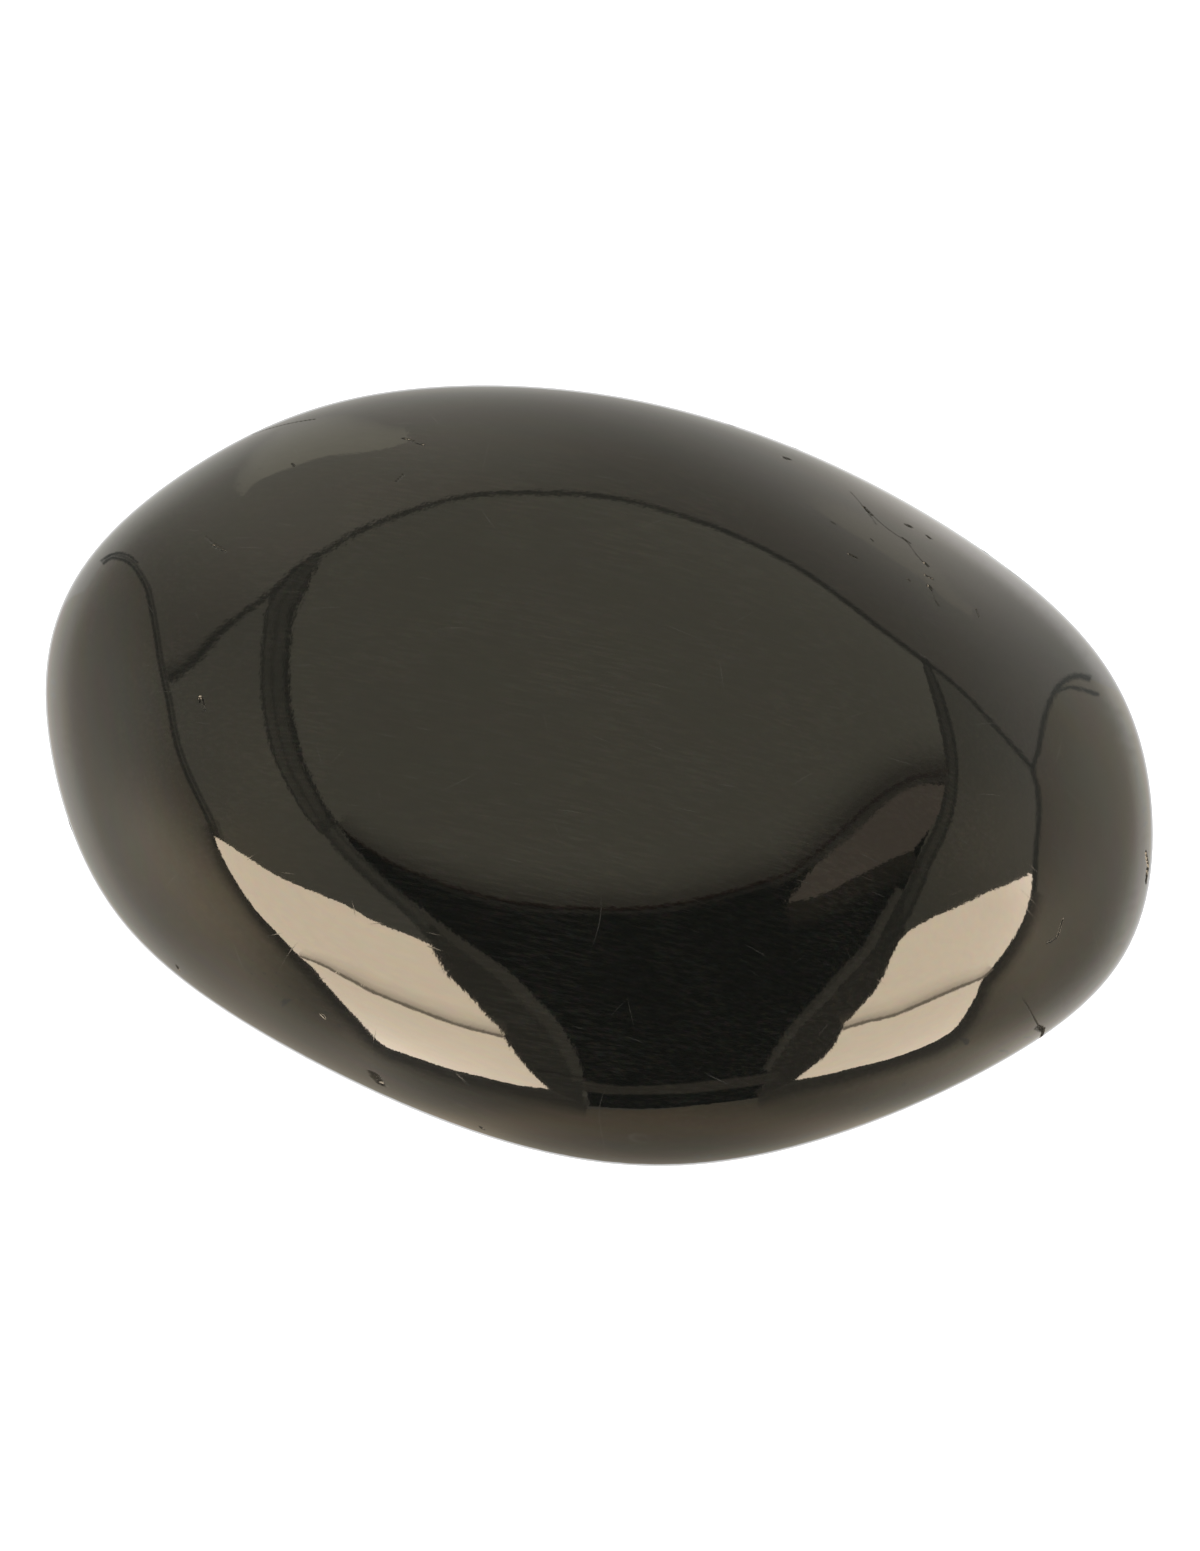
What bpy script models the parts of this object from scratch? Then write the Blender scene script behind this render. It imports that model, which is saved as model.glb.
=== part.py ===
# Polished jet palm stone: one solid pebble, lying on its broad underside.
# Metres, +Z up. The origin is on the table, below the middle of the stone's plan.
# +X runs along the stone's length. Its long low slopes fall towards +X and +Y.

import math

import bmesh
import bpy
import numpy as np

MM = 0.001

# Rounded block that the stone was worn from, in millimetres.
# A squareness of 2 makes an ellipsoid, and a higher value fills its shoulders out.
BLOCK_HALF_LENGTH = 33.5
BLOCK_HALF_WIDTH = 23.0
BLOCK_HALF_HEIGHT = 12.5
BLOCK_SQUARENESS = 2.4

# Faces worn into the block: bearing from +X and tilt above level, both in degrees,
# and distance from the block's middle in millimetres.
WORN_FACES = {
    "top": (0, 90, 14.0),
    "underside": (45, -88, 13.5),
    "right": (1, 33, 19.6),
    "back_right": (49, 40, 14.6),
    "back": (88, 20, 17.9),
    "back_left": (130, 16, 23.9),
    "left": (195, 14, 25.7),
    "front_left": (-125, -19, 23.4),
    "front_right": (-55, -20, 25.6),
}
FACE_SOFTNESS = 2.0     # millimetres over which faces round into each other

REST_FLAT_DEPTH = 0.1   # how far the lowest point is rubbed flat, in millimetres

SPHERE_SUBDIVISIONS = 5
SEARCH_STEPS = 40

JET_COLOUR = (0.012, 0.011, 0.010, 1.0)
JET_ROUGHNESS = 0.06
JET_IOR = 1.66


def clear_scene():
    for item in list(bpy.data.objects):
        bpy.data.objects.remove(item, do_unlink=True)


def direction(bearing, tilt):
    """Unit vector that points out of a worn face."""
    bearing = math.radians(bearing)
    tilt = math.radians(tilt)
    return (
        math.cos(tilt) * math.cos(bearing),
        math.cos(tilt) * math.sin(bearing),
        math.sin(tilt),
    )


def fullness(points):
    """Below 1 inside the stone, 1 on its surface and above 1 outside, for points in millimetres."""
    half_sizes = np.array([BLOCK_HALF_LENGTH, BLOCK_HALF_WIDTH, BLOCK_HALF_HEIGHT])
    block_radius = np.linalg.norm(points / half_sizes, axis=1)
    total = block_radius ** BLOCK_SQUARENESS
    for bearing, tilt, distance in WORN_FACES.values():
        beyond_face = points @ np.array(direction(bearing, tilt)) - distance
        total += np.exp(beyond_face / FACE_SOFTNESS)
    return total


def push_to_surface(points):
    """Slide each point along its line from the middle until it meets the stone's surface."""
    inner = np.zeros(len(points))
    outer = np.ones(len(points))
    for _ in range(SEARCH_STEPS):
        middle = (inner + outer) / 2
        inside = fullness(points * middle[:, None]) < 1
        inner = np.where(inside, middle, inner)
        outer = np.where(inside, outer, middle)
    return points * inner[:, None]


def stand_on_table(points):
    """Rub the lowest point flat, and move the stone over the origin with the flat at height 0."""
    flat_height = points[:, 2].min() + REST_FLAT_DEPTH
    points[:, 2] = np.maximum(points[:, 2] - flat_height, 0)
    for axis in (0, 1):
        points[:, axis] -= (points[:, axis].min() + points[:, axis].max()) / 2
    return points


def make_jet():
    material = bpy.data.materials.new("polished_jet")
    material.use_nodes = True
    shader = material.node_tree.nodes["Principled BSDF"]
    shader.inputs["Base Color"].default_value = JET_COLOUR
    shader.inputs["Roughness"].default_value = JET_ROUGHNESS
    shader.inputs["Metallic"].default_value = 0.0
    shader.inputs["IOR"].default_value = JET_IOR
    return material


def make_stone():
    """A sphere stretched to the block's size, whose vertices are pushed in to the worn surface."""
    shape = bmesh.new()
    bmesh.ops.create_icosphere(shape, subdivisions=SPHERE_SUBDIVISIONS, radius=1.0)
    block = np.array([vertex.co[:] for vertex in shape.verts])
    block *= [BLOCK_HALF_LENGTH, BLOCK_HALF_WIDTH, BLOCK_HALF_HEIGHT]
    surface = stand_on_table(push_to_surface(block)) * MM
    for vertex, place in zip(shape.verts, surface):
        vertex.co = place
    mesh = bpy.data.meshes.new("stone")
    shape.to_mesh(mesh)
    shape.free()
    mesh.shade_smooth()
    mesh.materials.append(make_jet())
    return bpy.data.objects.new("stone", mesh)


def main():
    clear_scene()
    collection = bpy.data.collections.new("jet_stone")
    bpy.context.scene.collection.children.link(collection)
    collection.objects.link(make_stone())


main()
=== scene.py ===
# Polished jet pebble on a white table, inside the little light tent that it mirrors.
# Sizes are in millimetres until they reach a mesh, and angles in degrees.
# Places in the photograph are pixels of its own 1200 by 1551 frame.
import math

import bmesh
import bpy
import numpy as np
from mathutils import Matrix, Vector
from mathutils.geometry import delaunay_2d_cdt


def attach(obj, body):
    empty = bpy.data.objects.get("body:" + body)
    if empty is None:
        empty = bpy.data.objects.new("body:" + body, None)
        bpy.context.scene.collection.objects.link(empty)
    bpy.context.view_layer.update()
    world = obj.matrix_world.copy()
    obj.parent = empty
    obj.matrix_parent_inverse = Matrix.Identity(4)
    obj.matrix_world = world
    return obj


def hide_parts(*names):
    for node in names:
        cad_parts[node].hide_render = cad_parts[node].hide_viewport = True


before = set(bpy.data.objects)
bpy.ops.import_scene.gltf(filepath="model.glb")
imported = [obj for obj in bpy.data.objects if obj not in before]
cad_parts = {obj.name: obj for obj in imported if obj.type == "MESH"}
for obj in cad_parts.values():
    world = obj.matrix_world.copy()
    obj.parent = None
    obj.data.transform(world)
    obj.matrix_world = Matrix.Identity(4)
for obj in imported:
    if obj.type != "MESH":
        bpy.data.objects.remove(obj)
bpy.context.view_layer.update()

mm = 0.001

# The same block and worn faces as the solid's
stoneForm = {
    "halfSizes": (33.5, 23.0, 12.5),
    "squareness": 2.4,
    "softness": 2.0,
    "middle": (1.257, 2.221, 10.842),   # of the block, in the frame
    "wornFaces": {                      # bearing, tilt, distance
        "top": (0, 90, 14.0),
        "underside": (45, -88, 13.5),
        "right": (1, 33, 19.6),
        "backRight": (49, 40, 14.6),
        "back": (88, 20, 17.9),
        "backLeft": (130, 16, 23.9),
        "left": (195, 14, 25.7),
        "frontLeft": (-125, -19, 23.4),
        "frontRight": (-55, -20, 25.6),
    },
}


def aimAlong(bearing, tilt):
    b, t = math.radians(bearing), math.radians(tilt)
    return (math.cos(t) * math.cos(b), math.cos(t) * math.sin(b), math.sin(t))


middle = np.array(stoneForm["middle"])
halfSizes = np.array(stoneForm["halfSizes"])
faceAims = np.array([aimAlong(b, t) for b, t, d in stoneForm["wornFaces"].values()])
faceDistances = np.array([d for b, t, d in stoneForm["wornFaces"].values()])
stoneReach = 45.0                       # further than any of the stone lies from its middle


# Below 1 inside the stone, 1 on its surface, above 1 outside
def fullness(points):
    p = points - middle
    block = np.linalg.norm(p / halfSizes, axis=-1) ** stoneForm["squareness"]
    return block + np.exp((p @ faceAims.T - faceDistances) / stoneForm["softness"]).sum(-1)


# Unit vectors straight out of the surface
def steepestWay(points):
    p = points - middle
    size = np.linalg.norm(p / halfSizes, axis=-1)
    power = stoneForm["squareness"]
    block = (power * size ** (power - 2))[..., None] * p / halfSizes ** 2
    faces = np.exp((p @ faceAims.T - faceDistances) / stoneForm["softness"]) / stoneForm["softness"]
    way = block + faces @ faceAims
    return way / np.linalg.norm(way, axis=-1, keepdims=True)


# From the middle out to the surface
def pushOut(ways):
    low = np.zeros(len(ways))
    high = np.full(len(ways), stoneReach / np.linalg.norm(ways, axis=1).min())
    for _ in range(46):
        half = (low + high) / 2
        inside = fullness(middle + ways * half[:, None]) < 1
        low = np.where(inside, half, low)
        high = np.where(inside, high, half)
    return middle + ways * low[:, None]


# Camera
shot = {
    "place": (0.067, -249.267, 379.409),
    "aim": (0.067, 2.37, 6.342),
    "lens": 229.8,
    "sensor": 36.0,
    "wide": 1200,
    "high": 1551,
    "near": 0.01,
    "far": 20.0,
}
cameraPlace = np.array(shot["place"])
lookWay = np.array(shot["aim"]) - cameraPlace
lookWay = lookWay / np.linalg.norm(lookWay)
rightWay = np.cross(lookWay, (0, 0, 1))
rightWay = rightWay / np.linalg.norm(rightWay)
upWay = np.cross(rightWay, lookWay)
focalPixels = shot["lens"] / shot["sensor"] * shot["high"]


def makeCamera():
    lens = bpy.data.cameras.new("camera")
    lens.lens = shot["lens"]
    lens.sensor_width = shot["sensor"]
    lens.clip_start = shot["near"]
    lens.clip_end = shot["far"]
    camera = bpy.data.objects.new("camera", lens)
    camera.location = Vector(shot["place"]) * mm
    camera.rotation_euler = Vector(lookWay).to_track_quat("-Z", "Y").to_euler()
    bpy.context.scene.collection.objects.link(camera)
    bpy.context.scene.camera = camera


makeCamera()
print("camera placed")


# From the photograph's pixels to the pebble, and on to the tent that it mirrors
def raysThrough(pixels):
    pixels = np.asarray(pixels, float)
    across = (pixels[:, 0] - shot["wide"] / 2) / focalPixels
    down = (pixels[:, 1] - shot["high"] / 2) / focalPixels
    ways = lookWay + across[:, None] * rightWay - down[:, None] * upWay
    return ways / np.linalg.norm(ways, axis=1)[:, None]


# How far along each ray it comes nearest to the stone's middle, or goes deepest into it
def deepestAlong(rays, rounds):
    nearest = ((middle - cameraPlace) * rays).sum(1)
    low, high = nearest - stoneReach, nearest + stoneReach
    for _ in range(rounds):
        half = (low + high) / 2
        rising = (steepestWay(cameraPlace + half[:, None] * rays) * rays).sum(1) > 0
        high = np.where(rising, half, high)
        low = np.where(rising, low, half)
    return (low + high) / 2


def meetStone(pixels):
    rays = raysThrough(pixels)
    high = deepestAlong(rays, 26)
    low = high - 2 * stoneReach
    for _ in range(34):
        half = (low + high) / 2
        outside = fullness(cameraPlace + half[:, None] * rays) > 1
        low = np.where(outside, half, low)
        high = np.where(outside, high, half)
    places = cameraPlace + low[:, None] * rays
    return places, steepestWay(places), rays


def meetTent(pixels, radius):
    places, outward, rays = meetStone(pixels)
    mirrored = rays - 2 * (rays * outward).sum(1)[:, None] * outward
    along = (places * mirrored).sum(1)
    reach = -along + np.sqrt(along ** 2 - (places ** 2).sum(1) + radius ** 2)
    return places + reach[:, None] * mirrored


# Catmull-Rom curve through given points, with a point every gap pixels or so
def smoothLine(points, gap=5.0):
    p = np.array(points, float)
    if len(p) == 2:
        p = np.array([p[0], (p[0] + p[1]) / 2, p[1]])
    ends = np.vstack([2 * p[0] - p[1], p, 2 * p[-1] - p[-2]])
    line = []
    for i in range(1, len(ends) - 2):
        a, b, c, d = ends[i - 1:i + 3]
        steps = max(2, int(np.linalg.norm(c - b) / gap))
        for t in np.linspace(0, 1, steps, endpoint=False):
            line.append(0.5 * (2 * b + (c - a) * t + (2 * a - 5 * b + 4 * c - d) * t ** 2
                               + (3 * b - a - 3 * c + d) * t ** 3))
    line.append(p[-1])
    return np.array(line)


photoMiddle = np.array([600.0, 775.0])


# Photo pixels a little inside the pebble's outline
def rimPoints(angles, margin):
    angles = np.radians(np.asarray(angles, float))
    ways = np.stack([np.cos(angles), np.sin(angles)], 1)
    low, high = np.full(len(ways), 300.0), np.full(len(ways), 650.0)
    for _ in range(22):
        half = (low + high) / 2
        rays = raysThrough(photoMiddle + half[:, None] * ways)
        hits = fullness(cameraPlace + deepestAlong(rays, 24)[:, None] * rays) < 1
        low = np.where(hits, half, low)
        high = np.where(hits, high, half)
    return photoMiddle + (low - margin)[:, None] * ways


rimAngles = np.arange(0, 360, 1.5)
rimReach = np.linalg.norm(rimPoints(rimAngles, 0) - photoMiddle, axis=1)


# How many pixels each one lies inside the outline, and its angle round the middle
def insideRim(pixels):
    off = pixels - photoMiddle
    angles = np.degrees(np.arctan2(off[:, 1], off[:, 0])) % 360
    return np.interp(angles, rimAngles, rimReach, period=360) - np.linalg.norm(off, axis=1), angles


def rimBetween(start, end, margin=2.0):
    return [tuple(p) for p in rimPoints(np.arange(start, end + 0.1, 3), margin).tolist()]


# Nodes
def addNode(tree, kind, inputs=None, **settings):
    made = tree.nodes.new("ShaderNode" + kind)
    for name, value in settings.items():
        setattr(made, name, value)
    for name, value in (inputs or {}).items():
        if isinstance(value, bpy.types.NodeSocket):
            tree.links.new(value, made.inputs[name])
        else:
            made.inputs[name].default_value = value
    return made


def calculate(tree, operation, a, b=0.0, c=0.0):
    return addNode(tree, "Math", {0: a, 1: b, 2: c}, operation=operation).outputs[0]


def spread(tree, value, low, high, toLow=0.0, toHigh=1.0):
    inputs = {"Value": value, "From Min": low, "From Max": high, "To Min": toLow, "To Max": toHigh}
    return addNode(tree, "MapRange", inputs, interpolation_type="SMOOTHSTEP").outputs[0]


def blend(tree, share, first, second):
    return addNode(tree, "Mix", {0: share, 6: first, 7: second}, data_type="RGBA").outputs[2]


def newGroup(name, inputs, outputs):
    group = bpy.data.node_groups.new(name, "ShaderNodeTree")
    for label, kind, start in inputs:
        socket = group.interface.new_socket(label, in_out="INPUT", socket_type="NodeSocket" + kind)
        if start is not None:
            socket.default_value = start
    for label, kind in outputs:
        group.interface.new_socket(label, in_out="OUTPUT", socket_type="NodeSocket" + kind)
    return group, group.nodes.new("NodeGroupInput").outputs, group.nodes.new("NodeGroupOutput").inputs


def useGroup(tree, group, inputs):
    made = tree.nodes.new("ShaderNodeGroup")
    made.node_tree = group
    for name, value in inputs.items():
        if isinstance(value, bpy.types.NodeSocket):
            tree.links.new(value, made.inputs[name])
        else:
            made.inputs[name].default_value = value
    return made.outputs


# Uneven shade round 1, with a little colour in it
def makeMottle():
    group, given, result = newGroup(
        "mottle", [("Vector", "Vector", None), ("Size", "Float", 10.0), ("Amount", "Float", 0.1)],
        [("Colour", "Color")])
    scale = calculate(group, "DIVIDE", 1000.0, given["Size"])
    noise = addNode(group, "TexNoise", {"Vector": given["Vector"], "Scale": scale,
                                        "Detail": 3.0, "Roughness": 0.6}).outputs[1]
    twice = calculate(group, "MULTIPLY", given["Amount"], 2.0)
    offset = addNode(group, "VectorMath", {0: noise, 1: (0.5, 0.5, 0.5)}, operation="SUBTRACT").outputs[0]
    scaled = addNode(group, "VectorMath", {0: offset, "Scale": twice}, operation="SCALE").outputs[0]
    shifted = addNode(group, "VectorMath", {0: scaled, 1: (1.0, 1.0, 1.0)}, operation="ADD").outputs[0]
    group.links.new(shifted, result["Colour"])
    return group


mottle = makeMottle()


# Light tent
tent = {
    "radius": 600.0,
    "layerGap": 3.0,
    "gridGap": 13,                      # pixels between a sheet's inner points
    "gridMargin": 2.8,                  # and between them and the pebble's outline
    "glossTint": (1.0, 0.93, 0.76),     # what polished jet does to the light that it mirrors face on
    "behind": (1.0, 1.0, 1.0),
    # dark seams and hems, and the painted shade in the left corner
    "seamAndShade": (0.20, 0.21, 0.20),
    "lamp": (8.2, 7.2, 6.35),
    # the lamps' dark fold line, with the painted shade beside it
    "foldLineAndShade": (1.6, 1.4, 1.2),
}


# Glows with the mesh's own tones, or evenly in one colour
def glowMaterial(name, colour=None, fades=False, patchSize=40.0, patchAmount=0.0):
    material = bpy.data.materials.new(name)
    material.use_nodes = True
    tree = material.node_tree
    tree.nodes.clear()
    glow = addNode(tree, "Emission")
    if colour is None:
        where = addNode(tree, "TexCoord").outputs["Object"]
        patches = useGroup(tree, mottle, {"Vector": where, "Size": patchSize, "Amount": patchAmount})
        tone = addNode(tree, "Attribute", attribute_name="tone").outputs["Color"]
        uneven = addNode(tree, "VectorMath", {0: tone, 1: patches["Colour"]}, operation="MULTIPLY").outputs[0]
        tree.links.new(uneven, glow.inputs["Color"])
    else:
        strength = max(colour)
        glow.inputs["Color"].default_value = (*[c / strength for c in colour], 1)
        glow.inputs["Strength"].default_value = strength
    seen = glow.outputs[0]
    if fades:
        cover = addNode(tree, "Attribute", attribute_name="fade").outputs["Fac"]
        clear = addNode(tree, "BsdfTransparent").outputs[0]
        seen = addNode(tree, "MixShader", {0: cover, 1: clear, 2: seen}).outputs[0]
    addNode(tree, "OutputMaterial", {"Surface": seen})
    material.cycles.emission_sampling = "NONE"
    return material


# Only the pebble's polish sees these panels
def hangInTent(name, corners, faces, material, fade=None, tones=None):
    mesh = bpy.data.meshes.new(name)
    mesh.from_pydata([tuple(c * mm) for c in corners], [], faces)
    if fade is not None:
        mesh.attributes.new("fade", "FLOAT", "POINT").data.foreach_set("value", fade)
    if tones is not None:
        tones = np.concatenate([tones, np.ones((len(tones), 1))], 1)
        mesh.attributes.new("tone", "FLOAT_COLOR", "POINT").data.foreach_set("color", tones.ravel())
    mesh.materials.append(material)
    panel = bpy.data.objects.new(name, mesh)
    bpy.context.scene.collection.objects.link(panel)
    panel.visible_camera = False
    panel.visible_diffuse = False
    panel.visible_transmission = False
    panel.visible_volume_scatter = False
    panel.visible_shadow = False


# Painted light that gathers in soft ovals, and painted shade where a gain is below 0: place, reach along and
# across, turn, gain
def softSpots(pixels, spots):
    total = np.zeros((len(pixels), 3))
    for place, reach, turn, gain in spots:
        t = math.radians(turn)
        off = pixels - np.array(place)
        along = (off[:, 0] * math.cos(t) + off[:, 1] * math.sin(t)) / reach[0]
        across = (off[:, 1] * math.cos(t) - off[:, 0] * math.sin(t)) / reach[1]
        total += np.exp(-along ** 2 - across ** 2)[:, None] * np.array(gain)
    return total


# Painted light round the pebble's rim, and painted shade where a gain is below 0
rimLight = [                            # angle, reach round, depth in pixels, softness, gain
    (350, 34, 16, 2.5, 0.33),
    (22, 14, 24, 4.0, 0.20),
    (192, 30, 21, 3.0, 0.24),
    (305, 24, 6, 1.5, 0.13),
    (95, 32, 17, 5.0, -0.13),
    (138, 16, 20, 5.0, -0.10),
    (228, 20, 10, 4.0, -0.15),
]


def rimGlow(pixels):
    depth, angles = insideRim(pixels)
    total = np.zeros(len(pixels))
    for angle, reach, width, softness, gain in rimLight:
        away = (angles - angle + 180) % 360 - 180
        fall = 1 / (1 + np.exp(np.clip((depth - width) / softness, -30, 30)))
        total += gain * np.exp(-(away / reach) ** 4) * fall
    return total[:, None]


rimRings = [rimPoints(rimAngles, margin) for margin in (3, 4.5, 6.5, 9, 12, 16, 20, 25, 32)]


# Edges are smooth lines in photo pixels, corner to corner, round the sheet
def makeSheet(name, edges, colour, layer, spots=(), patches=(40.0, 0.03)):
    outline = []
    for edge in edges:
        outline.extend(smoothLine(edge)[:-1].tolist())
    count = len(outline)
    low, high = np.min(outline, 0), np.max(outline, 0)
    gap = tent["gridGap"]
    grid = [(x, y) for x in np.arange(low[0], high[0], gap) for y in np.arange(low[1], high[1], gap)]
    for ring in rimRings:
        grid.extend(p for p in ring.tolist() if low[0] < p[0] < high[0] and low[1] < p[1] < high[1])
    grid = np.array(grid)
    grid = grid[insideRim(grid)[0] > tent["gridMargin"]]
    points = [Vector(p) for p in outline] + [Vector(p) for p in grid.tolist()]
    edgePairs = [(i, (i + 1) % count) for i in range(count)]
    flat, _, faces, _, _, _ = delaunay_2d_cdt(points, edgePairs, [list(range(count))], 1, 1e-4)
    pixels = np.array([tuple(p) for p in flat])
    corners = meetTent(pixels, tent["radius"] - layer * tent["layerGap"])
    tones = np.array(colour) + softSpots(pixels, spots) + rimGlow(pixels)
    material = glowMaterial(name, patchSize=patches[0], patchAmount=patches[1])
    hangInTent(name, corners, [tuple(f) for f in faces], material, tones=tones)


# Profile: pixels to the right hand of the line's way, and how much it covers there, 0 to 1
def makeBand(name, line, profile, colour, layer, widths=(1, 1), strengths=(1, 1)):
    path = smoothLine(line)
    way = np.gradient(path, axis=0)
    way /= np.linalg.norm(way, axis=1)[:, None]
    right = np.stack([-way[:, 1], way[:, 0]], 1)
    progress = np.linspace(0, 1, len(path))
    scale = np.interp(progress, np.linspace(0, 1, len(widths)), widths)
    cover = np.interp(progress, np.linspace(0, 1, len(strengths)), strengths)
    rows = [path + right * offset * scale[:, None] for offset, strength in profile]
    fade = np.clip(np.concatenate([cover * strength for offset, strength in profile]), 0, 1)
    corners = meetTent(np.vstack(rows), tent["radius"] - layer * tent["layerGap"])
    count = len(path)
    faces = [(r * count + i, r * count + i + 1, r * count + count + i + 1, r * count + count + i)
             for r in range(len(profile) - 1) for i in range(count - 1)]
    hangInTent(name, corners, faces, glowMaterial(name, colour, True), fade)


def makeTentSky():
    shape = bmesh.new()
    bmesh.ops.create_icosphere(shape, subdivisions=5, radius=tent["radius"])
    corners = np.array([v.co[:] for v in shape.verts])
    faces = [tuple(v.index for v in f.verts) for f in shape.faces]
    shape.free()
    hangInTent("tentSky", corners, faces, glowMaterial("tentSky", tent["behind"]))


makeTentSky()

# Where the tent's seams, the ceiling's opening and the lamps show in the pebble
lines = {
    "tableLeft": [(102, 563), (111, 557), (124, 559), (133, 565), (140, 575), (147, 588), (152, 610),
                  (156, 633), (160, 660), (164, 680), (169, 702), (172, 720), (177, 744), (186, 770),
                  (198, 796), (211, 823), (218, 846), (226, 866), (239, 886), (256, 911), (280, 938),
                  (300, 960), (312, 972), (326, 988), (342, 1006), (358, 1023), (375, 1041)],
    "tableFront": [(375, 1041), (388, 1051), (417, 1062), (450, 1073), (483, 1081), (517, 1089),
                   (550, 1096), (588, 1106), (600, 1107), (640, 1109), (680, 1107), (720, 1103),
                   (757, 1098), (795, 1086), (825, 1080), (857, 1072), (889, 1063), (915, 1054),
                   (936, 1046)],
    "tableRight": [(936, 1046), (955, 1034), (969, 1016), (979, 997), (985, 982), (995, 971),
                   (1008, 954), (1021, 932), (1029, 912), (1034, 892), (1035, 873), (1036, 852),
                   (1038, 830), (1039, 808), (1037, 786), (1033, 769), (1039, 747), (1044, 719),
                   (1052, 697), (1062, 683), (1076, 676), (1091, 679)],
    "ceilingBack": [(324, 552), (353, 534), (382, 521), (419, 508), (460, 497), (500, 493), (560, 493),
                    (600, 496), (640, 503), (680, 515), (720, 529), (760, 547), (800, 569), (840, 597),
                    (880, 628), (923, 660)],
    "ceilingRight": [(923, 660), (932, 688), (940, 719), (947, 747), (949, 770)],
    "ceilingFront": [(337, 825), (362, 845), (394, 864), (425, 877), (456, 888), (487, 897), (519, 903),
                     (550, 907), (581, 908), (612, 909), (640, 908), (672, 905), (705, 898), (740, 889),
                     (775, 878), (797, 868), (820, 850), (845, 828), (872, 803), (898, 784), (924, 774),
                     (949, 770)],
    "ceilingLeft": [(324, 552), (311, 577), (303, 596), (294, 614), (291, 638), (289, 662), (289, 690),
                    (292, 714), (298, 741), (306, 766), (323, 802), (337, 825)],
    "cornerLeft": [(324, 552), (303, 562), (272, 591), (245, 612), (219, 633), (195, 660), (169, 681)],
    "cornerRight": [(923, 660), (946, 677), (973, 702), (1001, 733), (1018, 752), (1033, 769)],
    "openingLeft": [(337, 825), (352, 845), (373, 868), (400, 893), (426, 912), (452, 932), (477, 949),
                    (503, 967), (528, 990), (554, 1017), (569, 1039), (580, 1062), (584, 1080),
                    (589, 1107)],
    "openingRight": [(949, 770), (946, 786), (941, 806), (933, 824), (924, 843), (914, 868), (904, 891),
                     (894, 910), (884, 930), (871, 954), (848, 979), (823, 1007), (797, 1033),
                     (779, 1058), (769, 1073), (757, 1098)],
}


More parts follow.
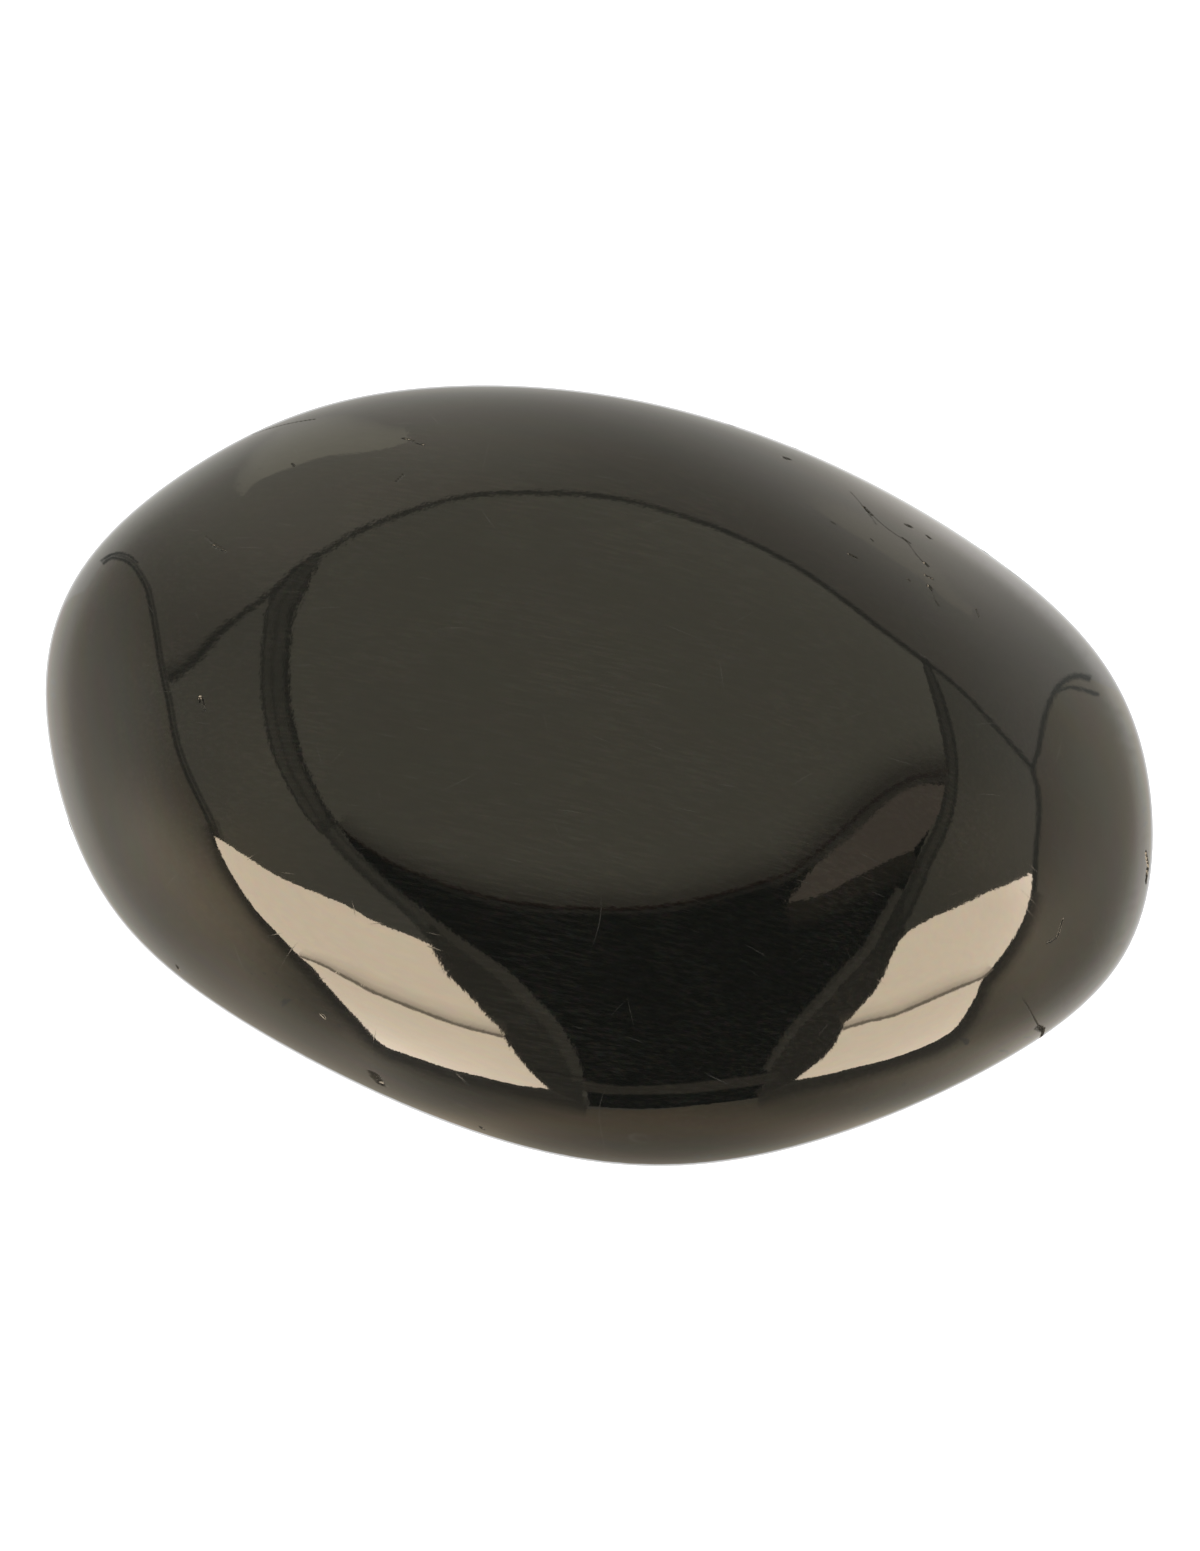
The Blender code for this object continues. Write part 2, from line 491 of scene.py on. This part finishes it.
def makeTentCloth():
    makeSheet("backWall", [rimBetween(0, 180), rimBetween(180, 360)], (0.50, 0.485, 0.45), 1, [
        ((270, 500), (270, 110), 0, (0.36, 0.36, 0.34)),
        ((450, 425), (170, 45), 4, (0.26, 0.26, 0.25)),
        ((905, 525), (110, 40), 38, (0.06, 0.05, 0.03)),
        ((130, 540), (60, 60), 0, (-0.10, -0.10, -0.10)),
    ], (90.0, 0.04))
    makeBand("backWallLitLeft", [(243, 496), (256, 482), (284, 470), (322, 457), (345, 454), (370, 451),
                                 (392, 447), (410, 441)],
             [(1, 0), (-1, 1), (-14, 0.95), (-26, 0.7), (-40, 0)], (1.27, 1.25, 1.13), 2,
             widths=(0.35, 0.8, 1, 1, 1, 0.8, 0.4), strengths=(0.6, 1, 1, 1, 1, 1, 0.9))
    makeBand("backWallLitRight", [(800, 499), (828, 517), (852, 532), (876, 547), (900, 563), (924, 579),
                                  (948, 601), (970, 615)],
             [(2, 0), (0, 0.9), (-6, 0.85), (-16, 0.6), (-25, 0)], (0.62, 0.59, 0.52), 2,
             widths=(0.3, 0.8, 1, 1, 0.9, 0.6, 0.4), strengths=(0.1, 0.8, 1, 0.9, 0.9, 1, 0.9))

    makeSheet("tableMirrored", [
        lines["tableLeft"], lines["tableFront"], lines["tableRight"], [(1091, 679), (1124, 694)],
        rimBetween(-6, 198), [(84, 592), (102, 563)]], (0.49, 0.455, 0.39), 2, [
        ((140, 700), (42, 150), -6, (0.20, 0.21, 0.22)),
        ((222, 912), (92, 36), 51, (0.76, 0.64, 0.50)),
        ((162, 838), (62, 34), 62, (0.34, 0.29, 0.23)),
        ((365, 1050), (50, 24), 30, (0.18, 0.15, 0.12)),
        ((1020, 955), (75, 40), -58, (0.58, 0.50, 0.40)),
        ((925, 1064), (95, 16), -18, (0.30, 0.25, 0.18)),
        ((650, 1122), (230, 15), 0, (0.24, 0.16, 0.09)),
        ((1090, 860), (50, 130), 0, (0.06, 0.06, 0.05)),
    ], (70.0, 0.10))

    ceiling, opening = lines["ceilingFront"], lines["openingRight"]
    makeSheet("ceiling", [lines["ceilingBack"], lines["ceilingRight"], ceiling[::-1],
                          lines["ceilingLeft"][::-1]], (0.66, 0.66, 0.60), 3)
    makeSheet("leftWall", [lines["cornerLeft"], lines["tableLeft"][9:], lines["tableFront"][:8],
                           [(588, 1106), (589, 1107)], lines["openingLeft"][::-1],
                           lines["ceilingLeft"][::-1]], (0.59, 0.59, 0.55), 3, [
        ((270, 790), (60, 110), -35, (0.12, 0.11, 0.08)),
        ((240, 850), (60, 30), 30, (0.14, 0.10, 0.05)),
    ])
    makeSheet("rightWall", [lines["cornerRight"], lines["tableRight"][:16][::-1], lines["tableFront"][12:][::-1],
                            [(757, 1098), (757.5, 1097)], opening[:-1][::-1], lines["ceilingRight"][::-1]],
              (0.47, 0.47, 0.43), 3, [
        ((1000, 850), (70, 70), 0, (0.17, 0.14, 0.11)),
    ])
    makeSheet("opening", [ceiling, opening, lines["tableFront"][7:13][::-1], lines["openingLeft"][::-1]],
              (0.079, 0.090, 0.088), 4)
    makeSheet("warmRoom", [
        [(787, 903), (800, 886), (813, 869), (842, 843), (873, 815), (899, 792), (921, 785), (945, 785)],
        [(945, 785), (941, 806), (933, 824), (914, 850)],
        [(914, 850), (893, 858), (872, 869), (850, 880), (829, 892), (804, 900), (787, 903)]],
        (0.61, 0.54, 0.50), 5)


def makeTentSeamsAndShade():
    dark = tent["seamAndShade"]
    fine = [(-3.5, 0), (-1.2, 0.9), (1.2, 0.9), (3.5, 0)]
    double = [(-5, 0), (-3.5, 0.65), (-2, 0.75), (-0.8, 0.4), (0.6, 0.9), (2.4, 0.9), (4.2, 0)]
    makeBand("ceilingBackSeam", lines["ceilingBack"], fine, dark, 6, widths=(1.2, 1, 1, 1, 1, 1))
    makeBand("cornerLeftSeam", lines["cornerLeft"], fine, dark, 6, widths=(0.8, 1, 1.3, 1.9, 1.6))
    # Painted shade in the tent's left corner
    makeBand("cornerLeftShade", [(250, 608), (219, 633), (195, 660), (171, 679)],
             [(0, 0.9), (7, 0.6), (20, 0)], dark, 6, widths=(0.1, 0.5, 1), strengths=(0.2, 0.7, 1))
    makeBand("cornerRightSeam", lines["cornerRight"], fine, dark, 6, widths=(0.9, 0.8, 0.9, 1.1))
    makeBand("tableLeftSeam", lines["tableLeft"][:17], double, dark, 6, widths=(0.8, 0.9, 0.9, 1, 1, 1))
    makeBand("tableLeftTopSeam", [(104, 559), (112, 554), (120, 553), (130, 556), (138, 563)], fine, dark, 6,
             widths=(0.4, 0.5, 0.4))
    makeBand("tableRightSeam", lines["tableRight"][9:], fine, dark, 6, widths=(1.1, 1.2, 1.1, 1.2, 1.3))
    makeBand("tableRightTopSeam", [(1099, 695), (1084, 690), (1068, 687), (1058, 693)], fine, dark, 6,
             widths=(0.8, 0.9, 0.5))
    # Painted shade on the table just outside each lamp's edge
    roundLamp = [(14, 0), (9, 0.3), (4, 0.85), (0, 0.9), (-8, 0.5)]
    shade = (0.27, 0.26, 0.24)
    makeBand("lampShadeLeft", lines["tableLeft"][15:] + lines["tableFront"][1:8], roundLamp, shade, 6,
             strengths=(0.7, 1, 1, 1, 1))
    makeBand("lampShadeRight", lines["tableFront"][12:] + lines["tableRight"][1:10], roundLamp, shade, 6,
             strengths=(0.9, 1, 1, 1, 0.8))


def makeCeilingHemsAndShade():
    dark = tent["seamAndShade"]
    makeBand("ceilingLeftHem", lines["ceilingLeft"],
             [(-1.5, 0), (0.5, 1), (4.5, 1), (7, 0.62), (14, 0.6), (17, 0.85), (19, 0.62), (25, 0.5), (26.5, 0.9),
              (28, 0.9), (30, 0)], dark, 6, widths=(0.15, 0.7, 0.95, 1, 1, 1, 1, 1, 0.9, 0.8, 0.65))
    makeBand("ceilingLeftHemLow", [(316, 823), (338, 852), (362, 876), (385, 897), (409, 918), (431, 942)],
             [(-15, 0.3), (-12, 0.85), (-9, 0.4), (-5, 0.7), (-1, 0.85), (2, 0)], dark, 6)
    makeBand("ceilingRightHem", [(921, 660), (930, 688), (938, 719), (944, 747), (946, 774), (942, 804),
                                 (933, 830), (919, 858), (906, 890), (889, 922), (868, 950)],
             [(1, 0), (0, 0.9), (-3, 0.9), (-5, 0.6), (-9, 0.6), (-11, 0.9), (-13, 0.9), (-15, 0)], dark, 6,
             widths=(0.45, 0.8, 0.9, 0.9, 1, 1.05, 1.1, 1.1, 1.15))
    # Painted shade that darkens the ceiling softly towards its front edge
    makeBand("ceilingFrontShade", lines["ceilingFront"],
             [(1, 0), (0, 0.78), (-8, 0.68), (-16, 0.45), (-28, 0.2), (-46, 0)], (0.22, 0.21, 0.2), 6,
             widths=(0.5, 0.8, 1, 1, 1, 1, 0.9), strengths=(0.8, 1, 1, 1, 1.05, 1.1, 1.1))
    makeBand("ceilingFrontEdge", lines["ceilingFront"], [(2, 0), (1, 0.9), (-1, 0.9), (-2, 0)],
             (0.13, 0.09, 0.08), 8, strengths=(0.5, 0.8, 1, 1, 0.8, 0.4))
    makeBand("ceilingFrontLip", lines["ceilingFront"][2:16], [(2, 0), (3, 0.8), (5, 0.8), (7, 0)],
             (0.22, 0.22, 0.21), 8, strengths=(0.5, 1, 1, 0.6))
    # Painted shade in stripes along the top of the warm room
    makeBand("warmRoomTopShade", [(768, 886), (791, 868), (814, 850), (837, 832), (855, 815), (873, 798),
                               (899, 781), (921, 773), (948, 771)],
             [(-5, 0), (-2, 0.9), (3, 0.9), (5, 0.7), (7, 0.9), (10, 0.95), (13, 0)], (0.33, 0.32, 0.30), 7,
             widths=(0.6, 1, 1.2, 1.1, 1, 1), strengths=(0.3, 0.8, 1, 1, 1, 1))
    makeBand("warmRoomFrameLine", [(791, 870), (814, 853), (837, 835), (855, 818), (873, 802), (899, 785),
                                   (921, 777), (946, 775)],
             [(-3, 0), (-1, 0.9), (1, 0.9), (3, 0)], (0.20, 0.18, 0.18), 8, strengths=(0.5, 1, 1, 0.9))
    makeBand("warmRoomShade", [(787, 904), (804, 901), (829, 893), (850, 881), (872, 870), (893, 859), (914, 851)],
             [(-1, 0), (0, 0.9), (8, 0.8), (18, 0.45), (28, 0)], (0.20, 0.19, 0.17), 6)


def makeOpeningTrim():
    trim = (0.42, 0.41, 0.38)
    leftLamp, rightLamp = lampOutline["left"], lampOutline["right"]
    makeSheet("trimLeft", [leftLamp[1], leftLamp[2], [(548, 1089), (588, 1106)],
                           lines["openingLeft"][4:-1][::-1], [(426, 912), (430, 945)]], (0.27, 0.27, 0.25), 5)
    makeSheet("trimRight", [lines["openingRight"][6:][::-1], [(904, 891), (905, 935)], rightLamp[1],
                            rightLamp[2], [(796, 1080), (757, 1098)]], (0.25, 0.245, 0.23), 5)
    makeBand("trimLeftLight", lines["openingLeft"][4:13], [(0, 0), (1, 0.95), (11, 0.9), (14, 0)], trim, 8,
             widths=(0.5, 0.8, 1, 1.1, 1.1, 0.9))
    makeBand("trimRightLight", lines["openingRight"][6:15],
             [(12, 0), (9, 0.85), (8, 0.5), (7, 0.9), (1, 0.95), (0, 0)],
             trim, 8, widths=(0.7, 1, 1.1, 1.1, 0.9, 0.7))
    makeBand("trimLeftLine", [(534, 1070), (560, 1074), (586, 1079)], [(-2, 0), (0, 0.7), (2, 0)],
             (0.16, 0.15, 0.14), 9)
    makeBand("trimFront", [(584, 1086), (612, 1090), (640, 1090.5), (680, 1089), (720, 1085), (757, 1080),
                           (780, 1076)],
             [(-6, 0), (-4, 0.95), (4, 0.95), (6, 0)], (0.31, 0.295, 0.27), 8, widths=(1, 0.8, 1, 1, 1))


lampOutline = {
    "left": [
        [(214, 836), (242, 854), (275, 875), (308, 890), (342, 904), (375, 922), (408, 935), (430, 945)],
        [(430, 945), (439, 962), (449, 977), (467, 994), (487, 1016), (502, 1032)],
        [(502, 1032), (506, 1041), (525, 1066), (548, 1089)],
        [(548, 1089), (517, 1085), (483, 1077), (450, 1069), (417, 1058), (388, 1048)],
        [(388, 1048), (375, 1038), (358, 1019), (342, 1002), (325, 983), (312, 967), (300, 957)],
        [(300, 957), (279, 935), (254, 908), (237, 883), (225, 862), (217, 845), (214, 836)]],
    "right": [
        [(1032, 873), (1011, 883), (986, 893), (960, 906), (934, 917), (912, 930), (905, 935)],
        [(905, 935), (898, 944), (891, 960), (879, 985), (866, 1001), (852, 1017), (846, 1022)],
        [(846, 1022), (840, 1034), (834, 1046), (821, 1060), (808, 1070), (796, 1080)],
        [(796, 1080), (825, 1075), (857, 1067), (889, 1059), (915, 1050), (934, 1042)],
        [(934, 1042), (953, 1030), (966, 1013), (976, 995), (982, 980), (990, 970)],
        [(990, 970), (1005, 951), (1018, 930), (1026, 911), (1031, 892), (1032, 873)]],
}


def makeLamps():
    for side, edges in lampOutline.items():
        makeSheet("lamp" + side.capitalize(), edges, tent["lamp"], 7,
                  [((460, 1060), (90, 25), 15, (0.5, 0.5, 0.5)), ((1005, 905), (30, 30), 0, (-0.6, -0.6, -0.6))],
                  (26.0, 0.10))
    # A dark fold line across each lamp, with painted shade fading out on one side of it
    foldLineAndShade = [(-18, 0), (-8, 0.18), (-2.5, 0.5), (-0.8, 0.95), (0.8, 0.95), (2, 0)]
    makeBand("lampFoldAndShadeLeft", [(299, 956), (320, 964), (337, 973), (356, 983), (375, 993), (417, 1010),
                              (458, 1025), (503, 1037)], foldLineAndShade, tent["foldLineAndShade"], 9, widths=(0.5, 1, 1, 1, 1))
    makeBand("lampFoldAndShadeRight", [(843, 1029), (866, 1022), (895, 1015), (921, 1004), (953, 990), (982, 978),
                               (993, 969)], foldLineAndShade, tent["foldLineAndShade"], 9, widths=(1, 1, 1, 1, 0.6))


makeTentCloth()
makeTentSeamsAndShade()
makeCeilingHemsAndShade()
makeOpeningTrim()
makeLamps()
print("tent hung")


# Table and room light
table = {"half": 6000.0, "drop": 0.02, "colour": (0.9, 0.9, 0.9, 1), "glow": 0.75, "roughness": 0.9}


def makeTable():
    shape = bmesh.new()
    bmesh.ops.create_grid(shape, x_segments=1, y_segments=1, size=table["half"] * mm)
    mesh = bpy.data.meshes.new("table")
    shape.to_mesh(mesh)
    shape.free()
    whiteCard = bpy.data.materials.new("whiteCard")
    whiteCard.use_nodes = True
    shader = whiteCard.node_tree.nodes["Principled BSDF"]
    shader.inputs["Base Color"].default_value = table["colour"]
    shader.inputs["Emission Color"].default_value = (1, 1, 1, 1)
    shader.inputs["Emission Strength"].default_value = table["glow"]
    shader.inputs["Roughness"].default_value = table["roughness"]
    shader.inputs["Specular IOR Level"].default_value = 0.0
    mesh.materials.append(whiteCard)
    board = bpy.data.objects.new("table", mesh)
    board.location.z = -table["drop"] * mm
    bpy.context.scene.collection.objects.link(board)
    board.visible_glossy = False        # the tent's lower half stands for the mirrored table


room = {"colour": (1, 1, 1, 1), "strength": 2.0}


def makeRoomLight():
    world = bpy.data.worlds.new("whiteRoom")
    bpy.context.scene.world = world
    world.use_nodes = True
    background = world.node_tree.nodes["Background"]
    background.inputs["Color"].default_value = room["colour"]
    background.inputs["Strength"].default_value = room["strength"]
    bpy.context.scene.view_settings.view_transform = "Standard"


makeTable()
makeRoomLight()
print("table and room light made")


# Scratch lines that run one way: some of many even rows, each broken up on its own
def makeScratchLines():
    group, given, result = newGroup(
        "scratchLines", [("Vector", "Vector", None), ("Turn", "Float", 0.0), ("Gap", "Float", 0.3),
                         ("Length", "Float", 3.0), ("Share", "Float", 0.3), ("Width", "Float", 0.02)],
        [("Line", "Float")])
    turned = addNode(group, "VectorRotate", {"Vector": given["Vector"], "Angle": given["Turn"]},
                     rotation_type="Z_AXIS").outputs[0]
    inMm = addNode(group, "VectorMath", {0: turned, "Scale": 1000.0}, operation="SCALE").outputs[0]
    sway = addNode(group, "TexNoise", {"Vector": inMm, "Scale": 0.12, "Detail": 1.0}).outputs[0]
    parts = addNode(group, "SeparateXYZ", {0: inMm}).outputs
    across = calculate(group, "MULTIPLY_ADD", sway, 3.0, parts[1])
    inRows = calculate(group, "DIVIDE", across, given["Gap"])
    row = calculate(group, "FLOOR", inRows)
    inRow = calculate(group, "FRACT", inRows)
    luck = addNode(group, "TexWhiteNoise", {"W": row}, noise_dimensions="1D").outputs[0]
    centre = spread(group, luck, 0.0, 1.0, 0.2, 0.8)
    off = calculate(group, "ABSOLUTE", calculate(group, "SUBTRACT", inRow, centre))
    offMm = calculate(group, "MULTIPLY", off, given["Gap"])
    thin = addNode(group, "MapRange", {"Value": offMm, "From Min": 0.0, "From Max": given["Width"],
                                       "To Min": 1.0, "To Max": 0.0}).outputs[0]
    alongRow = calculate(group, "DIVIDE", parts[0], given["Length"])
    pieceSpot = addNode(group, "CombineXYZ", {0: alongRow, 1: calculate(group, "MULTIPLY", row, 7.3)}).outputs[0]
    pieces = addNode(group, "TexNoise", {"Vector": pieceSpot, "Scale": 1.0, "Detail": 1.0}).outputs[0]
    start = calculate(group, "SUBTRACT", 0.8, calculate(group, "MULTIPLY", given["Share"], 0.4))
    kept = addNode(group, "MapRange", {"Value": pieces, "From Min": start,
                                       "From Max": calculate(group, "ADD", start, 0.08)}).outputs[0]
    group.links.new(calculate(group, "MULTIPLY", thin, kept), result["Line"])
    return group


# Pebble
jet = {
    "dark": (0.0006, 0.0006, 0.0006, 1),
    "grain": (0.0052, 0.0046, 0.0038, 1),
    "scratched": (0.030, 0.029, 0.027, 1),
    "broken": (0.006, 0.006, 0.006, 1),
    "grainBearing": -14.0,
    "grainSize": (1.3, 0.13, 0.13),     # along, across and down
    "polish": 0.035,                    # roughness
    "rippleSize": 0.25,
    "rippleHeight": 0.0011,
    "ior": 1.66,
    "scratchSets": [                    # turn, gap between rows, length, share of the rows, width
        (14, 0.22, 2.2, 0.34, 0.018),
        (-38, 0.5, 3.5, 0.28, 0.02),
        (71, 0.6, 2.6, 0.28, 0.02),
        (-75, 0.9, 5.0, 0.26, 0.022),
    ],
}

wear = {
    "pits": [                           # both ends in the photograph, then half width and depth
        [(374, 1074), (381, 1084), 0.24, 0.20],
        [(481, 1127), (483, 1129), 0.10, 0.10],
        [(322, 1015), (325, 1018), 0.09, 0.08],
        [(1037, 1027), (1043, 1030), 0.13, 0.20],
        [(1043, 1030), (1041, 1037), 0.10, 0.16],
        [(864, 507), (872, 515), 0.11, 0.15],
        [(903, 538), (910, 543), 0.07, 0.08],
        [(925, 563), (928, 566), 0.11, 0.10],
        [(925, 575), (933, 579), 0.06, 0.08],
        [(929, 586), (931, 589), 0.12, 0.15],
        [(849, 554), (857, 558), 0.07, 0.07],
        [(832, 522), (835, 524), 0.05, 0.05],
        [(871, 539), (873, 541), 0.05, 0.05],
        [(908, 579), (910, 581), 0.05, 0.05],
        [(976, 609), (979, 617), 0.06, 0.05],
        [(200, 699), (204, 708), 0.12, 0.12],
        [(177, 966), (179, 970), 0.09, 0.08],
        [(1146, 855), (1148, 866), 0.22, 0.20],
        [(1147, 872), (1146, 881), 0.18, 0.18],
        [(69, 823), (71, 828), 0.14, 0.12],
        [(292, 464), (294, 466), 0.05, 0.06],
        [(403, 438), (424, 445), 0.05, 0.04],
        [(213, 545), (225, 551), 0.07, 0.05],
        [(397, 481), (404, 474), 0.06, 0.03],
    ],
    "scratches": [                      # points in the photograph, then half width and depth
        [[(868, 511), (883, 525), (895, 534), (907, 542), (915, 553), (922, 561), (927, 566)], 0.035, 0.03],
        [[(931, 589), (935, 600), (939, 606)], 0.04, 0.03],
        [[(1022, 998), (1027, 1005), (1033, 1016), (1039, 1027)], 0.035, 0.03],
        [[(1063, 919), (1060, 928), (1057, 937), (1047, 943)], 0.055, 0.06],
        [[(206, 537), (214, 544), (224, 550)], 0.05, 0.03],
    ],
    "seed": 11,
    "hiddenPits": 34,
    "hiddenScratches": 12,
}


# Sum of a few waves in fixed ways, -1 to 1, to make edges ragged
def raggedness(points, waveLength):
    total = np.zeros(len(points))
    for k, turn in enumerate((0.3, 1.7, 2.9, 4.1, 5.2)):
        way = np.array([math.cos(turn), math.sin(turn), math.cos(2.3 * turn)])
        total += np.sin(points @ way * 2 * math.pi / waveLength / (1 + 0.27 * k) + 1.9 * k)
    return total / 5


def gatherMarks():
    marks = []
    for *spots, half, depth in wear["pits"]:
        marks.append((meetStone(spots)[0], half, depth, 0.35))
    for spots, half, depth in wear["scratches"]:
        marks.append((meetStone(smoothLine(spots, 4))[0], half, depth, 0.2))
    luck = np.random.default_rng(wear["seed"])
    for i in range(wear["hiddenPits"] + wear["hiddenScratches"]):
        isPit = i < wear["hiddenPits"]
        bearing = luck.uniform(20, 160) if i % 3 else luck.uniform(0, 360)
        tilt = luck.uniform(-60, 25) if i % 3 else luck.uniform(-75, -20)
        start = pushOut(np.array([aimAlong(bearing, tilt)]))[0]
        out = steepestWay(start[None])[0]
        side = np.cross(out, luck.normal(size=3))
        side = side / np.linalg.norm(side)
        length = luck.uniform(0.1, 0.5) if isPit else luck.uniform(1.5, 4.5)
        half, depth = (luck.uniform(0.06, 0.2), luck.uniform(0.06, 0.16)) if isPit else (0.045, 0.03)
        line = start + side * np.linspace(0, length, 3 if isPit else 9)[:, None]
        marks.append((pushOut(line - middle), half, depth, 0.35 if isPit else 0.2))
    return marks


def distanceToLine(points, line):
    best = np.full(len(points), 1e9)
    for a, b in zip(line[:-1], line[1:]):
        run = b - a
        share = np.clip((points - a) @ run / max(run @ run, 1e-12), 0, 1)
        best = np.minimum(best, np.linalg.norm(points - a - share[:, None] * run, axis=1))
    return best


def wearDepth(points, marks):
    total = np.zeros(len(points))
    for line, half, depth, ragged in marks:
        reach = np.linalg.norm(line - line.mean(0), axis=1).max() + 2 * half
        near = np.linalg.norm(points - line.mean(0), axis=1) < reach
        if near.any():
            spot = points[near]
            away = distanceToLine(spot, line) / half * (1 + ragged * raggedness(spot, 1.8 * half))
            share = np.clip((1 - away) / 0.6, 0, 1)
            total[near] = np.maximum(total[near], depth * share * share * (3 - 2 * share))
    return total


# Splits the mesh where it has to carry small marks
def refineNear(shape, marks):
    spacing = 0.42
    while spacing > 0.028:
        shape.edges.ensure_lookup_table()
        ends = np.array([(*e.verts[0].co, *e.verts[1].co) for e in shape.edges]).reshape(-1, 2, 3)
        centres = ends.mean(1)
        lengths = np.linalg.norm(ends[:, 0] - ends[:, 1], axis=1)
        chosen = np.zeros(len(centres), bool)
        for line, half, depth, ragged in marks:
            if spacing > half / 2.2:
                reach = np.linalg.norm(line - line.mean(0), axis=1).max() + half + 1.6 * spacing
                near = np.flatnonzero(np.linalg.norm(centres - line.mean(0), axis=1) < reach)
                if len(near):
                    close = distanceToLine(centres[near], line) < 1.3 * half + 0.75 * lengths[near]
                    chosen[near[close & (lengths[near] > 0.6 * spacing)]] = True
        edges = [shape.edges[i] for i in np.flatnonzero(chosen)]
        if edges:
            bmesh.ops.subdivide_edges(shape, edges=edges, cuts=1, use_grid_fill=True)
            bmesh.ops.triangulate(shape, faces=[f for f in shape.faces if len(f.verts) > 3])
        spacing /= 2


def makeJet(scratchLines):
    material = bpy.data.materials.new("polishedJet")
    material.use_nodes = True
    tree = material.node_tree
    shader = tree.nodes["Principled BSDF"]
    where = addNode(tree, "TexCoord").outputs["Object"]
    turned = addNode(tree, "VectorRotate", {"Vector": where, "Angle": -math.radians(jet["grainBearing"])},
                     rotation_type="Z_AXIS").outputs[0]
    stretch = tuple(1000 / size for size in jet["grainSize"])
    drawnOut = addNode(tree, "VectorMath", {0: turned, 1: stretch}, operation="MULTIPLY").outputs[0]
    streaks = addNode(tree, "TexNoise", {"Vector": drawnOut, "Scale": 1.0,
                                         "Detail": 4.0, "Roughness": 0.62}).outputs[0]
    broad = addNode(tree, "TexNoise", {"Vector": where, "Scale": 220.0, "Detail": 2.0}).outputs[0]
    strongest = spread(tree, broad, 0.3, 0.7, 0.35, 1.0)
    grainShare = calculate(tree, "MULTIPLY", spread(tree, streaks, 0.38, 0.72), strongest)
    scratches = []
    for turn, gap, length, share, width in jet["scratchSets"]:
        scratches.append(useGroup(tree, scratchLines, {
            "Vector": where, "Turn": math.radians(turn), "Gap": gap, "Length": length,
            "Share": share, "Width": width})["Line"])
    anyScratch = scratches[0]
    for line in scratches[1:]:
        anyScratch = calculate(tree, "MAXIMUM", anyScratch, line)
    worn = addNode(tree, "Attribute", attribute_name="worn").outputs["Fac"]
    speckle = useGroup(tree, mottle, {"Vector": where, "Size": 0.22, "Amount": 0.9})
    plain = blend(tree, grainShare, jet["dark"], jet["grain"])
    uneven = addNode(tree, "VectorMath", {0: plain, 1: speckle["Colour"]}, operation="MULTIPLY").outputs[0]
    scratched = blend(tree, calculate(tree, "MULTIPLY", anyScratch, 0.5), uneven, jet["scratched"])
    colour = blend(tree, worn, scratched, jet["broken"])
    roughness = calculate(tree, "MULTIPLY_ADD", anyScratch, 0.25, jet["polish"])
    roughness = calculate(tree, "MULTIPLY_ADD", worn, 0.3, roughness)
    ripples = addNode(tree, "TexNoise", {"Vector": where, "Scale": 1000 / jet["rippleSize"],
                                         "Detail": 2.0}).outputs[0]
    height = calculate(tree, "MULTIPLY_ADD", anyScratch, -0.5, ripples)
    bump = addNode(tree, "Bump", {"Height": height, "Distance": jet["rippleHeight"] * mm, "Strength": 1.0})
    tree.links.new(colour, shader.inputs["Base Color"])
    tree.links.new(roughness, shader.inputs["Roughness"])
    tree.links.new(bump.outputs[0], shader.inputs["Normal"])
    shader.inputs["IOR"].default_value = jet["ior"]
    shader.inputs["Specular Tint"].default_value = (*tent["glossTint"], 1)
    return material


def makePebble():
    marks = gatherMarks()
    shape = bmesh.new()
    bmesh.ops.create_icosphere(shape, subdivisions=6, radius=1.0)
    ways = np.array([v.co[:] for v in shape.verts]) * halfSizes
    for v, place in zip(shape.verts, pushOut(ways)):
        v.co = place
    refineNear(shape, marks)
    places = pushOut(np.array([v.co[:] for v in shape.verts]) - middle)
    outward = steepestWay(places)
    depth = wearDepth(places, marks)
    touched = np.flatnonzero(depth > 0)
    nudge = 0.004                       # how far apart the depths are read for their slope
    slope = np.zeros_like(places)
    for way in np.eye(3):
        step = way - (outward[touched] @ way)[:, None] * outward[touched]
        ahead = wearDepth(places[touched] + nudge * step, marks)
        behind = wearDepth(places[touched] - nudge * step, marks)
        slope[touched] += ((ahead - behind) / (2 * nudge))[:, None] * way
    slope -= (slope * outward).sum(1)[:, None] * outward
    normals = outward + slope
    normals /= np.linalg.norm(normals, axis=1)[:, None]
    places = places - depth[:, None] * outward
    places[:, 2] = np.maximum(places[:, 2], 0)
    for v, place in zip(shape.verts, places):
        v.co = place * mm
    mesh = bpy.data.meshes.new("pebble")
    shape.to_mesh(mesh)
    shape.free()
    mesh.attributes.new("worn", "FLOAT", "POINT").data.foreach_set("value", np.clip(depth / 0.05, 0, 1))
    mesh.shade_smooth()
    mesh.normals_split_custom_set_from_vertices([tuple(n) for n in normals])
    mesh.materials.append(makeJet(makeScratchLines()))
    pebble = bpy.data.objects.new("pebble", mesh)
    bpy.context.scene.collection.objects.link(pebble)
    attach(pebble, "root")
    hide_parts("stone")
    print("pebble made,", len(mesh.polygons), "faces,", len(touched), "points in pits and scratches")


makePebble()
